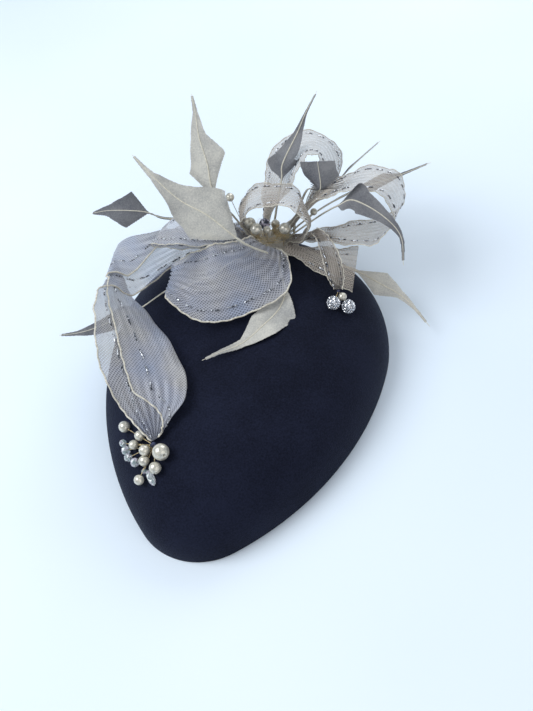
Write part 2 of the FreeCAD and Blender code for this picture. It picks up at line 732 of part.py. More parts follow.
def add_stem(name, start, end, stop_short):
    """A straight bead wire from start to a point stop_short before end."""
    first = Vector(*start)
    line = Vector(*end) - first
    length = line.Length - stop_short
    stem = doc.addObject("Part::Cylinder", name)
    bind(stem, "Radius", "Sizes.stem_dia / 2")
    stem.Height = length
    stem.Placement = Placement(first, Rotation(Vector(0, 0, 1), line))
    return stem


def make_stems(node, starts, beads):
    """Wires that carry the beads, each ending at its bead's surface."""
    stems = []
    for number, (start, (centre, diameter)) in enumerate(zip(starts, beads)):
        stop = diameter / 2 + size("stem_gap")
        stems.append(add_stem("%s_%d" % (node, number), start, centre, stop))
    group = doc.addObject("Part::Compound", node)
    group.Links = stems
    keep(node, group)


def knot_starts(knot, radius, beads):
    """Where each bead's wire leaves a round knot of thread."""
    starts = []
    middle = Vector(*knot)
    for centre, _ in beads:
        way = (Vector(*centre) - middle).normalize()
        starts.append(tuple(middle + way * (radius + size("stem_gap"))))
    return starts


def make_leaf_crystal():
    """Pointed-oval crystal at the end of the bead spray."""
    first = Vector(*LEAF_ENDS[0])
    second = Vector(*LEAF_ENDS[1])
    leaf = doc.addObject("Part::Ellipsoid", "leaf_crystal")
    leaf.Radius1 = LEAF_THICK / 2
    leaf.Radius2 = (second - first).Length / 2
    leaf.Radius3 = LEAF_WIDE / 2
    long_way = (second - first).normalize()
    leaf.Placement = Placement((first + second) * 0.5,
                               Rotation(long_way, Vector(0, 0, 1).cross(long_way),
                                        Vector(0, 0, 1), "XZY"))
    keep("leaf_crystal", leaf)


KNOT_RADIUS = 2.2
TAIL_KNOT_RADIUS = 1.1


def make_beads():
    """All beads, their wires and the thread knots that hold them."""
    make_balls("centre_pearls", CENTRE_PEARLS)
    make_balls("centre_crystal", CENTRE_CRYSTALS)
    make_stems("centre_stems", CENTRE_FEET, CENTRE_PEARLS + CENTRE_CRYSTALS)
    make_balls("wired_pearls", WIRED_PEARLS)
    make_stems("wired_pearl_stems", WIRED_FEET, WIRED_PEARLS)
    make_balls("mesh_tuft", [MESH_TUFT])
    make_balls("spray_knot", [(SPRAY_KNOT, 2 * KNOT_RADIUS)])
    make_balls("spray_pearls", SPRAY_PEARLS)
    make_balls("spray_large_pearl", SPRAY_LARGE)
    make_balls("spray_crystals", SPRAY_CRYSTALS)
    make_leaf_crystal()
    spray = SPRAY_PEARLS[:4] + SPRAY_LARGE
    make_stems("spray_stems", knot_starts(SPRAY_KNOT, KNOT_RADIUS, spray), spray)
    make_balls("tail_knot", [(TAIL_KNOT, 2 * TAIL_KNOT_RADIUS)])
    make_balls("tail_pearl", TAIL_PEARL)
    make_balls("rhinestone_balls", RHINESTONE_BALLS)
    make_stems("tail_links", knot_starts(TAIL_KNOT, TAIL_KNOT_RADIUS, RHINESTONE_BALLS[:1])
               + knot_starts(TAIL_PEARL[0][0], TAIL_PEARL[0][1] / 2, RHINESTONE_BALLS[1:]),
               RHINESTONE_BALLS)


def check_and_write():
    """Refuse a failed object, then write one STEP file for each node."""
    doc.recompute()
    for thing in doc.Objects:
        if "Invalid" in thing.State or "Error" in thing.State:
            raise RuntimeError("failed object " + thing.Name)
    for node, thing in nodes.items():
        shape = thing.Shape
        if shape.isNull() or not shape.isValid() or not shape.Solids:
            raise RuntimeError("bad shape in " + node)
    os.makedirs("parts", exist_ok=True)
    for node, thing in nodes.items():
        thing.Shape.exportStep("parts/%s.step" % node)
        print("%-22s %2d solids %9.1f mm3" % (node, len(thing.Shape.Solids), thing.Shape.Volume))


make_felt_shell()
make_edge_wire()
make_lining()
make_petersham()
make_comb()
make_comb_stitches()
make_elastic_loops()
make_trim_pad()
make_ribbons()
make_feathers()
make_beads()
check_and_write()
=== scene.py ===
"""Looks of the teardrop felt headpiece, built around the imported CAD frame.

Lengths are written in millimetres and turned into metres by MM.  Ribbons and
feathers repeat the stations of the CAD strips that they stand for.
"""
import math
import random
import bpy
import numpy as np
from mathutils import Matrix, Vector


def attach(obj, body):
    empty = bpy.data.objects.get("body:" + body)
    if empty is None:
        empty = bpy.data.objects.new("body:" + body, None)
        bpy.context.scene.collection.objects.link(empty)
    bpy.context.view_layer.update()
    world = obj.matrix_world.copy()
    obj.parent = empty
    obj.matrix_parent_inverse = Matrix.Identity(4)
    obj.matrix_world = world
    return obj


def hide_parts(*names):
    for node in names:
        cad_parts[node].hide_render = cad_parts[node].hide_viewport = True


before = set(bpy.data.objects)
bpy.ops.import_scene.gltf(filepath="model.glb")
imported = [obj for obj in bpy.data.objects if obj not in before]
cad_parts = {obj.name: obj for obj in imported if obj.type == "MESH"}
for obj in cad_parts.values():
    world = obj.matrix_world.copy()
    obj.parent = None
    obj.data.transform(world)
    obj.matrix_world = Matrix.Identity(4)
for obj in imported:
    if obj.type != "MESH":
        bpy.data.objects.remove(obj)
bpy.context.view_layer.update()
MM = 0.001
BODY = "headpiece"
rng = random.Random(7)

# Each station is (centre, direction across the strip, width), in millimetres.
RIBBONS = {
    "left_tail_ribbon": [
        ((-13, 105, 43), (0, 9, -4), 8),
        ((-25, 103, 49), (0, 9, -3), 14),
        ((-40, 84, 57), (0, 10, -1), 28),
        ((-57, 70, 59), (-1, 10, 0), 38),
        ((-73, 42, 70), (-2, 10, 1), 50),
        ((-84, 29, 80), (-3, 9, -3), 50),
        ((-75, 5, 83), (0, 7, -7), 50),
        ((-56, -20, 80), (5, 6, -6), 50),
        ((-42, -40, 71), (9, 4, -4), 52),
        ((-32, -57, 61), (10, 3, 0), 42),
        ((-28, -68, 54), (9, 3, 2), 22),
        ((-26, -76.3, 48.6), (8, 5, 3), 5.5),
    ],
    "left_loop_ribbon": [
        ((-13, 92, 49), (0, -9, 4), 8),
        ((-18, 84, 62), (1, -9, 0), 14),
        ((-25, 73, 78), (3, -10, 0), 28),
        ((-36, 60, 92), (2, -9, 2), 44),
        ((-48, 52, 96), (2, -9, 4), 46),
        ((-57, 50, 92), (2, -8, 5), 46),
        ((-55, 55, 83.5), (2, -9, 5), 42),
        ((-44, 67.5, 73.5), (2, -9, 3), 34),
        ((-30, 79, 61), (2, -10, 1), 20),
        ((-17, 93, 49), (0, -9, 4), 7),
    ],
    "front_loop_ribbon": [
        ((4, 84, 53), (10, 0, 0), 9),
        ((6, 77, 62), (10, -1, -3), 16),
        ((11, 67, 70), (9, -3, -3), 32),
        ((9, 49, 73), (8, -4, -4), 48),
        ((-6, 33, 76), (5, -7, -5), 50),
        ((-24, 26, 74), (3, -9, -4), 48),
        ((-40, 31, 71), (2, -10, 1), 48),
        ((-49, 34, 67), (2, -10, 3), 36),
        ((-46, 43, 60), (2, -9, 3), 32),
        ((-32, 58, 56), (2, -10, 2), 26),
        ((-16, 72, 56), (3, -9, 2), 12),
        ((-6, 85, 53.7), (3, -9, 4), 8),
    ],
    "centre_arch_ribbon": [
        ((-8, 99, 46), (0, -9, 4), 9),
        ((-12, 96, 58), (1, -9, 4), 14),
        ((-15, 92, 73), (3, -8, 5), 30),
        ((-7, 93, 88), (3, -8, 4), 44),
        ((9, 97, 92), (3, -8, 4), 48),
        ((25, 98, 86), (3, -9, 4), 48),
        ((32, 91, 73), (2, -8, 5), 34),
        ((27, 94, 58), (1, -9, 5), 18),
        ((15, 97, 47), (0, -9, 4), 8),
    ],
    "back_loop_ribbon": [
        ((-5, 107, 42), (0, -9, 4), 9),
        ((-6, 118, 52), (5, -7, 5), 20),
        ((-1, 128, 63), (7, -5, 6), 36),
        ((3, 137, 75), (7, -5, 6), 48),
        ((7, 147, 85), (6, -7, 4), 52),
        ((19, 155, 88), (3, -9, 4), 52),
        ((30, 158, 80), (0, -9, 5), 50),
        ((33, 154, 62), (-2, -8, 6), 42),
        ((20, 136, 46), (-1, -8, 5), 24),
        ((4, 108, 42), (0, -9, 4), 9),
    ],
    "right_loop_ribbon": [
        ((8, 104, 43.5), (0, -9, 4), 7),
        ((20, 115, 57), (0, -9, 4), 16),
        ((32, 123, 68), (0, -9, 4), 27),
        ((48, 128, 78), (0, -9, 4), 46),
        ((66, 132, 82), (0, -9, 4), 52),
        ((82, 130, 78), (0, -9, 4), 52),
        ((88, 122, 67), (0, -9, 4), 52),
        ((80, 114, 55), (0, -9, 4), 52),
        ((63, 109, 52), (1, -9, 4), 46),
        ((42, 108, 49), (1, -9, 4), 28),
        ((15, 106, 42.5), (0, -9, 4), 7),
    ],
    "right_band_ribbon": [
        ((15, 87, 52), (-1, 9, -4), 8),
        ((33, 85, 50), (-1, 10, -3), 24),
        ((51, 80, 50), (-1, 10, -2), 36),
        ((66, 78, 49), (-1, 10, 0), 40),
    ],
    "right_tail_ribbon": [
        ((38, 84, 76), (7, 6, 2), 5),
        ((45, 78, 76), (8, 5, 1), 8),
        ((52, 69, 70), (9, 3, 0), 11),
        ((57, 59, 62), (10, 3, -1), 11),
        ((59.6, 53.8, 55), (10, 3, -1), 5),
    ],
}

FEATHERS = {
    "short_left_feather": [
        ((-18, 97, 47.2), (-1, 8, 6), 1.1),
        ((-31, 95.5, 60), (-1, 8, 6), 1.1),
        ((-46, 89, 68), (-1, 8, 6), 1.1),
        ((-64, 76, 80), (-1, 7, 7), 1.2),
        ((-73, 72, 88), (-1, 7, 7), 1.6),
        ((-84, 68, 92), (1, 7, 7), 24),
        ((-97, 64, 94), (1, 7, 7), 7),
        ((-107, 60, 94), (-1, 8, 6), 0.7),
    ],
    "long_left_feather": [
        ((12, 61, 74), (5, 8, 4), 1.2),
        ((6, 48, 93), (5, 8, 4), 1.4),
        ((-1, 44, 104), (4, 8, 4), 1.8),
        ((-18, 46, 119), (4, 8, 4), 37),
        ((-35, 47, 129), (0, 9, 5), 20),
        ((-51, 51, 143), (6, 7, 4), 4),
        ((-64, 57, 153), (6, 7, 4), 0.7),
    ],
    "tall_left_feather": [
        ((-11, 96, 47.4), (10, 3, -1), 1.1),
        ((-21, 94, 70), (9, 3, 0), 1.2),
        ((-31, 91, 94), (9, 5, 1), 1.7),
        ((-36, 101, 110), (8, 5, 3), 27),
        ((-43, 112, 123), (10, 3, 0), 10),
        ((-47, 123, 133), (9, 3, 0), 3),
        ((-51, 132, 141), (10, 3, -1), 0.7),
    ],
    "tall_right_feather": [
        ((0, 106, 42.5), (10, 1, 1), 1.1),
        ((3, 107, 56), (10, 0, 3), 1.2),
        ((5, 114, 70), (10, 0, 3), 1.2),
        ((6, 125, 80), (9, 0, 4), 1.8),
        ((6, 131.5, 88), (9, -2, 3), 24),
        ((14, 147, 103), (9, 3, 3), 7),
        ((18, 156, 112), (9, 4, 3), 2.4),
        ((24, 168, 122), (8, 5, 1), 0.7),
    ],
    "square_feather": [
        ((14.5, 111.5, 40.2), (10, 3, -1), 1.1),
        ((15, 118.2, 50), (10, 3, -1), 1.2),
        ((24, 122, 74), (10, 3, -1), 1.2),
        ((34, 112, 84), (10, 3, -1), 1.6),
        ((37, 112, 89), (10, 3, -1), 21),
        ((34, 120, 103), (10, 3, -1), 23),
    ],
    "back_right_feather": [
        ((0, 114, 38.4), (5, 8, 4), 1.1),
        ((19, 146, 36), (5, 8, 4), 1.3),
        ((33, 172, 38), (5, 8, 4), 1.8),
        ((37, 178, 40), (5, 8, 4), 12),
        ((45, 187, 45), (5, 8, 4), 3.5),
        ((59, 203, 52), (5, 8, 4), 0.7),
    ],
    "far_right_feather": [
        ((10, 113.5, 38.9), (3, 8, 5), 1.1),
        ((30, 134, 46), (3, 8, 5), 1.3),
        ((51, 150, 51), (3, 8, 5), 1.8),
        ((66, 157, 54), (3, 8, 5), 14),
        ((80, 163, 57), (3, 8, 5), 3),
        ((101, 174, 62), (3, 8, 5), 0.7),
    ],
    "hooked_feather": [
        ((11.5, 104, 43.4), (2, 8, 5), 1.1),
        ((20, 107, 50), (2, 8, 5), 1.2),
        ((30, 110, 58), (2, 8, 5), 1.2),
        ((40, 107, 70), (2, 8, 5), 1.2),
        ((53, 95, 90), (4, 8, 5), 1.7),
        ((63, 96, 95), (3, 9, 4), 20),
        ((82, 93, 87), (3, 9, 4), 9),
        ((95, 87, 76), (9, 5, 1), 2.5),
        ((99, 74, 63), (10, 3, -1), 0.7),
    ],
    "low_right_feather": [
        ((18.5, 94, 48.9), (2, 8, 5), 1.1),
        ((45, 91, 40), (2, 8, 5), 1.2),
        ((65, 90, 33), (3, 8, 5), 1.7),
        ((81, 86, 28), (4, 7, 5), 17),
        ((95, 82, 24), (5, 8, 4), 5.5),
        ((106, 76, 19), (6, 7, 4), 2),
        ((118, 68, 11), (7, 7, 3), 0.7),
    ],
    "front_feather": [
        ((12, 82, 54), (10, 3, -1), 1.1),
        ((20, 58, 59), (10, 3, -1), 1.2),
        ((27, 43, 60), (10, 1, -2), 1.8),
        ((26, 29, 57.5), (9, -3, -2), 22),
        ((20, 12, 60), (8, -4, -2), 19),
        ((11, -4, 60.5), (6, -6, -5), 5),
        ((-1, -15, 62), (5, -6, -6), 2),
        ((-10, -23, 62), (5, -6, -6), 0.7),
    ],
    "low_left_feather": [
        ((-13, 84, 53.4), (1, 8, 6), 1.1),
        ((-20, 74, 51.6), (1, 8, 6), 1.1),
        ((-34, 57, 52.5), (3, 8, 5), 1.1),
        ((-54, 37, 52.5), (4, 8, 5), 1.2),
        ((-70, 24, 46), (4, 8, 5), 2),
        ((-84, 14, 44), (2, 8, 5), 18),
        ((-97, 5, 42), (1, 8, 6), 9),
        ((-109, 0, 40), (1, 8, 6), 3),
        ((-121, -4, 40), (1, 8, 6), 0.7),
    ],
}

CENTRE_PEARLS = [((-8, 88.5, 71), 8.0), ((-2, 83, 72), 8.0), ((4, 87, 68), 5.2),
                 ((16, 89, 69), 8.0), ((6, 100, 61), 6.0)]
CENTRE_CRYSTALS = [((0, 95, 65), 8.0)]
CENTRE_FEET = [(-4, 93, 49), (-2, 89, 51), (2, 91, 50), (13, 90.5, 50), (3, 100, 45.6),
               (-1, 97, 47)]
WIRED_PEARLS = [((-23, 98, 84), 6.0), ((29, 117, 59), 5.0)]
WIRED_FEET = [(-14.5, 98.5, 46), (11, 109, 41)]
MESH_TUFT = ((10.5, 93.2, 61.5), 8.4)

SPRAY_KNOT = (-26.2, -79.6, 47)
SPRAY_PEARLS = [((-51, -67, 41.5), 7.4), ((-37.5, -74, 45.8), 6.6), ((-40.5, -79, 42.2), 6.2),
                ((-30.3, -84.8, 48), 6.8), ((-30, -89.3, 43.2), 6.8), ((-21, -93.7, 45.1), 7.6),
                ((-31, -99.5, 37.4), 6.4)]
SPRAY_LARGE = [((-19, -85.5, 50.6), 10.5)]
SPRAY_CRYSTALS = [((-46, -81, 37.4), 6.0), ((-49.5, -76.5, 37.5), 5.0), ((-37, -89, 38.8), 6.0),
                  ((-42.8, -85.6, 37.2), 5.6), ((-29.4, -93.8, 38.6), 3.6)]
LEAF_ENDS = ((-27, -93.6, 40.4), (-20, -102, 38.4))
LEAF_WIDE = 4.8

TAIL_PEARL = [((63, 51, 51.4), 5.6)]
RHINESTONE_BALLS = [((58.3, 44.2, 52.2), 9.2), ((67.8, 45.6, 48.6), 9.2)]
TAIL_KNOT = (60, 53, 53.9)
KNOT_RADIUS = 2.2
TAIL_KNOT_RADIUS = 1.1

RIBBON_FLAT = 50.0
FRONT_UP = np.array([0.24, -0.57, 0.79])


# ------------------------------------------------------------------- node helpers
class Shader:
    """A small node-tree writer around one Principled shader."""

    def __init__(self, name):
        self.material = bpy.data.materials.new(name)
        self.material.use_nodes = True
        self.tree = self.material.node_tree
        self.bsdf = self.tree.nodes["Principled BSDF"]

    def node(self, kind, **settings):
        node = self.tree.nodes.new(kind)
        for key, value in settings.items():
            setattr(node, key, value)
        return node

    def link(self, source, target):
        self.tree.links.new(source, target)

    def set(self, **values):
        for key, value in values.items():
            self.bsdf.inputs[key.replace("_", " ")].default_value = value

    def coords(self, kind="Object"):
        return self.node("ShaderNodeTexCoord").outputs[kind]

    def noise(self, scale, detail=3.0, vector=None, rough=0.55):
        node = self.node("ShaderNodeTexNoise")
        node.inputs["Scale"].default_value = scale
        node.inputs["Detail"].default_value = detail
        node.inputs["Roughness"].default_value = rough
        self.link(vector or self.coords(), node.inputs["Vector"])
        return node.outputs["Fac"]

    def ramp(self, factor, stops):
        node = self.node("ShaderNodeValToRGB")
        ramp = node.color_ramp
        while len(ramp.elements) < len(stops):
            ramp.elements.new(0.5)
        for element, (place, colour) in zip(ramp.elements, stops):
            element.position = place
            element.color = (*colour, 1.0)
        self.link(factor, node.inputs["Fac"])
        return node.outputs["Color"]

    def maths(self, operation, first, second=0.0, third=0.0):
        node = self.node("ShaderNodeMath", operation=operation)
        for index, value in enumerate((first, second, third)):
            if isinstance(value, (int, float)):
                node.inputs[index].default_value = value
            else:
                self.link(value, node.inputs[index])
        return node.outputs[0]

    def bump(self, height, strength, distance):
        node = self.node("ShaderNodeBump")
        node.inputs["Strength"].default_value = strength
        node.inputs["Distance"].default_value = distance
        self.link(height, node.inputs["Height"])
        self.link(node.outputs["Normal"], self.bsdf.inputs["Normal"])

    def colour(self, output):
        self.link(output, self.bsdf.inputs["Base Color"])

    def roughness(self, output):
        self.link(output, self.bsdf.inputs["Roughness"])


# ------------------------------------------------------------------------ materials
def felt_material(name, dark, light, sheen):
    """Brushed fur felt: mottled dye, soft nap and a rim of sheen."""
    s = Shader(name)
    broad = s.noise(26.0, 4.0)
    fine = s.noise(900.0, 4.0)
    fibre = s.noise(2600.0, 2.0)
    mixed = s.maths("ADD", s.maths("MULTIPLY", broad, 0.4), s.maths("MULTIPLY", fine, 0.6))
    s.colour(s.ramp(mixed, [(0.38, dark), (0.62, light)]))
    s.set(Roughness=0.92, Sheen_Weight=sheen, Sheen_Roughness=0.35)
    s.bsdf.inputs["Sheen Tint"].default_value = (0.55, 0.66, 0.95, 1.0)
    s.bsdf.inputs["Specular IOR Level"].default_value = 0.2
    s.bump(s.maths("ADD", fine, s.maths("MULTIPLY", fibre, 0.6)), 0.55, 0.0006)
    return s.material


def crin_material(name, tones):
    """Open diagonal weave of nylon; the gaps between its threads are see-through."""
    s = Shader(name)
    uv = s.node("ShaderNodeSeparateXYZ")
    s.link(s.coords("UV"), uv.inputs[0])
    along, across = uv.outputs[0], uv.outputs[1]
    cells_per_metre = 1 / (2.0 * MM)
    lines = []
    for operation in ("ADD", "SUBTRACT"):
        slant = s.maths("MULTIPLY", s.maths(operation, along, across), cells_per_metre)
        wave = s.maths("PINGPONG", slant, 0.5)
        lines.append(s.maths("GREATER_THAN", wave, 0.31))
    weave = s.maths("MAXIMUM", lines[0], lines[1])
    patchy = s.noise(160.0, 2.0)
    film = s.maths("MULTIPLY_ADD", patchy, 0.3, 0.22)
    s.link(s.maths("MAXIMUM", s.maths("MULTIPLY", weave, 0.86), film), s.bsdf.inputs["Alpha"])
    tone = s.noise(30.0, 3.0)
    s.colour(s.ramp(tone, list(zip((0.34, 0.5, 0.68), tones))))
    s.roughness(s.maths("MULTIPLY_ADD", patchy, 0.2, 0.28))
    s.set(Sheen_Weight=0.3)
    s.bump(weave, 0.4, 0.0002)
    return s.material


def thread_material(name, dark, light, rough, metal, soften=0.08):
    """Twisted thread: light and dark along the ply, with a fine ridge. On the silver thread the
    near-black and bright stops are painted reflection: dark surroundings and glints mirrored in the
    metal.
    """
    s = Shader(name)
    ply = s.noise(700.0, 2.0)
    s.colour(s.ramp(ply, [(0.5 - soften, dark), (0.5 + soften, light)]))
    s.set(Metallic=metal)
    s.roughness(s.maths("MULTIPLY_ADD", ply, 0.25, rough))
    s.bump(ply, 0.5, 0.0001)
    return s.material


def feather_material(name, dark, light):
    """Barbs with their fine barbules, paler and darker from patch to patch."""
    s = Shader(name)
    patch = s.noise(45.0, 3.0)
    streak = s.noise(1100.0, 3.0)
    mixed = s.maths("ADD", s.maths("MULTIPLY", patch, 0.6), s.maths("MULTIPLY", streak, 0.4))
    s.colour(s.ramp(mixed, [(0.34, dark), (0.62, light)]))
    s.set(Roughness=0.7, Sheen_Weight=0.35)
    s.bsdf.inputs["Specular IOR Level"].default_value = 0.3
    s.bump(streak, 0.5, 0.0002)
    return s.material


def pearl_material():
    """Nacre: cream body with cooler and rosier clouds, and a clear gloss."""
    s = Shader("pearl_nacre")
    cloud = s.noise(420.0, 3.0)
    s.colour(s.ramp(cloud, [(0.32, (0.44, 0.43, 0.40)), (0.5, (0.66, 0.63, 0.53)),
                            (0.68, (0.78, 0.72, 0.62))]))
    s.set(Coat_Weight=1.0, Coat_Roughness=0.05, Metallic=0.35)
    s.roughness(s.maths("MULTIPLY_ADD", cloud, 0.12, 0.2))
    s.bump(cloud, 0.1, 0.0001)
    return s.material


def stone_material(name, dark, light, clear):
    """Cut stone: the stone's tone from dark to light, with painted glints of pale lavender, over a
    body that lets some light through.
    """
    s = Shader(name)
    glint_noise = s.noise(380.0, 2.0)
    # The pale lavender stop is a painted glint, light thrown back by the facets; dark to light below
    # it is the stone's own tone.
    s.colour(s.ramp(glint_noise, [(0.35, dark), (0.5, light), (0.62, (0.80, 0.72, 0.90))]))
    s.set(Transmission_Weight=clear, IOR=1.7, Coat_Weight=1.0, Coat_Roughness=0.02)
    s.roughness(s.maths("MULTIPLY_ADD", glint_noise, 0.05, 0.03))
    return s.material


def metal_material(name, dark, light, rough):
    """Drawn or polished metal with handling marks."""
    s = Shader(name)
    marks = s.noise(700.0, 4.0)
    s.colour(s.ramp(marks, [(0.3, dark), (0.7, light)]))
    s.set(Metallic=1.0)
    s.roughness(s.maths("MULTIPLY_ADD", marks, 0.2, rough))
    s.bump(marks, 0.15, 0.0001)
    return s.material


def petersham_material():
    """Ribbed grosgrain: cross ribs that follow the rim round."""
    s = Shader("petersham_rib")
    turn = s.node("ShaderNodeTexGradient", gradient_type="RADIAL")
    s.link(s.coords(), turn.inputs["Vector"])
    ribs = s.maths("PINGPONG", s.maths("MULTIPLY", turn.outputs["Fac"], 620.0), 0.5)
    wear = s.noise(300.0, 3.0)
    s.colour(s.ramp(s.maths("ADD", s.maths("MULTIPLY", ribs, 0.8), s.maths("MULTIPLY", wear, 0.4)),
                    [(0.2, (0.012, 0.016, 0.04)), (0.7, (0.035, 0.045, 0.1))]))
    s.set(Roughness=0.6, Sheen_Weight=0.3)
    s.bump(ribs, 0.8, 0.0004)
    return s.material


def lining_material():
    """Satin lining: fine warp lines and soft puckers."""
    s = Shader("lining_satin")
    warp = s.noise(1800.0, 1.0)
    pucker = s.noise(38.0, 3.0)
    s.colour(s.ramp(s.maths("ADD", s.maths("MULTIPLY", pucker, 0.7), s.maths("MULTIPLY", warp, 0.3)),
                    [(0.35, (0.012, 0.015, 0.035)), (0.65, (0.03, 0.038, 0.085))]))
    s.roughness(s.maths("MULTIPLY_ADD", warp, 0.2, 0.3))
    s.set(Sheen_Weight=0.25)
    s.bump(s.maths("ADD", s.maths("MULTIPLY", pucker, 4.0), warp), 0.4, 0.0006)
    return s.material


FELT = felt_material("felt_velour", (0.0014, 0.0028, 0.0110), (0.0085, 0.0115, 0.0290), 0.10)
BUCKRAM = felt_material("buckram_net", (0.30, 0.27, 0.22), (0.52, 0.48, 0.41), 0.1)
WARM_CRIN = crin_material("crin_warm", ((0.38, 0.34, 0.30), (0.45, 0.40, 0.35), (0.54, 0.48, 0.41)))
COOL_CRIN = crin_material("crin_cool", ((0.33, 0.37, 0.48), (0.41, 0.42, 0.48), (0.47, 0.46, 0.46)))
SELVAGE = thread_material("selvage_cord", (0.50, 0.46, 0.38), (0.80, 0.76, 0.66), 0.4, 0.0, 0.16)
# Silver thread: the near-black and bright patches in its colour are painted reflection, glints and
# dark surroundings, not the thread's own tone.
PAINTED_GLINT_THREAD = thread_material("silver_thread_painted_glints", (0.03, 0.035, 0.05), (0.80, 0.82, 0.86), 0.14, 0.8)
NAVY_THREAD = thread_material("navy_thread", (0.01, 0.014, 0.035), (0.05, 0.06, 0.13), 0.5, 0.0)
# The pale and the darker feather materials are lit and shaded copies of one feather: the darker one
# is painted shade.
PALE_FEATHER = feather_material("feather_pale", (0.30, 0.30, 0.30), (0.62, 0.60, 0.54))
PAINTED_SHADE_FEATHER = feather_material("feather_painted_shade", (0.10, 0.105, 0.125), (0.24, 0.24, 0.25))
QUILL = thread_material("quill", (0.54, 0.50, 0.41), (0.76, 0.72, 0.60), 0.35, 0.0, 0.2)
PEARL = pearl_material()
CLEAR_STONE = stone_material("crystal_clear", (0.42, 0.56, 0.58), (0.86, 0.90, 0.90), 0.6)
DARK_STONE = stone_material("crystal_dark", (0.01, 0.014, 0.03), (0.05, 0.06, 0.11), 0.2)
SILVER = metal_material("rhinestone_silver", (0.45, 0.46, 0.50), (0.92, 0.93, 0.96), 0.06)
GOLD = metal_material("gold_wire", (0.42, 0.32, 0.16), (0.86, 0.72, 0.46), 0.22)
STEEL = metal_material("comb_steel", (0.35, 0.35, 0.37), (0.75, 0.75, 0.77), 0.18)
PETERSHAM = petersham_material()
LINING = lining_material()


# ------------------------------------------------------------------ mesh building
class Form:
    """Points, faces and optional UVs of one piece, gathered part by part."""

    def __init__(self):
        self.points = []
        self.faces = []
        self.uvs = []

    def add(self, points, faces, uvs=None):
        start = len(self.points)
        self.points.extend(tuple(float(v) for v in point) for point in points)
        self.faces.extend(tuple(start + i for i in face) for face in faces)
        if uvs is not None:
            self.uvs.extend(uvs)

    def grid(self, rows, uvs=None):
        """Join equal rows of points into quads."""
        count = len(rows[0])
        points = [point for row in rows for point in row]
        faces = []
        for r in range(len(rows) - 1):
            for c in range(count - 1):
                a = r * count + c
                faces.append((a, a + 1, a + count + 1, a + count))
        flat = None if uvs is None else [uv for row in uvs for uv in row]
        self.add(points, faces, flat)

    def tube(self, path, radius, sides=6):
        """Round section along a path of points; radius is a number or one per point."""
        path = np.asarray(path, float)
        radii = np.broadcast_to(np.asarray(radius, float), len(path))
        runs = np.gradient(path, axis=0)
        runs /= np.maximum(np.linalg.norm(runs, axis=1), 1e-9)[:, None]
        side = np.cross(runs[0], (0.31, 0.52, 0.79))
        rings = []
        for point, run, size in zip(path, runs, radii):
            side = side - run * side.dot(run)
            side /= max(np.linalg.norm(side), 1e-9)
            up = np.cross(run, side)
            turns = np.arange(sides) * 2 * math.pi / sides
            rings.append(point + size * (np.outer(np.cos(turns), side)
                                         + np.outer(np.sin(turns), up)))
        faces = []
        for ring in range(len(rings) - 1):
            for k in range(sides):
                a = ring * sides + k
                b = ring * sides + (k + 1) % sides
                faces.append((a, b, b + sides, a + sides))
        faces.append(tuple(range(sides))[::-1])
        last = (len(rings) - 1) * sides
        faces.append(tuple(range(last, last + sides)))
        self.add(np.concatenate(rings), faces)

    def piece(self, name, material, smooth=True):
        """Make the Blender object, in metres."""
        mesh = bpy.data.meshes.new(name)
        mesh.from_pydata([tuple(v * MM for v in p) for p in self.points], [], self.faces)
        if self.uvs:
            layer = mesh.uv_layers.new(name="UVMap")
            for loop in mesh.loops:
                u, v = self.uvs[loop.vertex_index]
                layer.data[loop.index].uv = (u * MM, v * MM)
        mesh.polygons.foreach_set("use_smooth", [smooth] * len(mesh.polygons))
        mesh.materials.append(material)
        mesh.validate()
        made = bpy.data.objects.new(name, mesh)
        bpy.context.scene.collection.objects.link(made)
        return made


def place(piece, slot, *nodes):
    """Ride on the headpiece, and hide the nodes it stands for."""
    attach(piece, BODY)
    if nodes:
        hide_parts(*nodes)


def spline(points, per_span):
    """Smooth samples through points; each slope follows the neighbours."""
    points = np.asarray(points, float)
    samples = []
    for i in range(len(points) - 1):
        start, end = points[i], points[i + 1]
        before = points[i - 1] if i else 2 * start - end
        after = points[i + 2] if i + 2 < len(points) else 2 * end - start
        for t in np.linspace(0, 1, per_span, endpoint=False):
            samples.append(0.5 * (2 * start + (end - before) * t
                                  + (2 * before - 5 * start + 4 * end - after) * t * t
                                  + (3 * start - before - 3 * end + after) * t ** 3))
    samples.append(points[-1])
    return np.array(samples)


def unit(rows):
    return rows / np.maximum(np.linalg.norm(rows, axis=-1, keepdims=True), 1e-9)


def strip_edges(stations, per_span):
    """Both edges of a strip, its normals and its length at every sample."""
    centre = np.array([s[0] for s in stations], float)
    across = unit(np.array([s[1] for s in stations], float))
    half = np.array([s[2] for s in stations], float)[:, None] / 2
    left = spline(centre - across * half, per_span)
    right = spline(centre + across * half, per_span)
    middle = (left + right) / 2
    run = unit(np.gradient(middle, axis=0))
    normal = unit(np.cross(run, right - left))
    reach = np.r_[0, np.cumsum(np.linalg.norm(np.diff(middle, axis=0), axis=1))]
    return left, right, normal, reach


# ------------------------------------------------------------------------- ribbons
# The number and depth of the gathers give each sheet about the area of its flat cut.
PLEATS = 8
PLEAT_MOST = 1.5
RIPPLE = 0.22
FOLD_GAP = 1.4
FOLD_MOST = 0.72          # share of the width folded back
FOLD_STARTS = 0.26        # share of the tail's length
FOLD_OPENS = 0.16
FOLD_CLOSES = 0.12
SAMPLES_PER_SPAN = 16
EDGE_WAVE = 0.9           # height of the loose edge's wave
EDGE_WAVE_LONG = 23
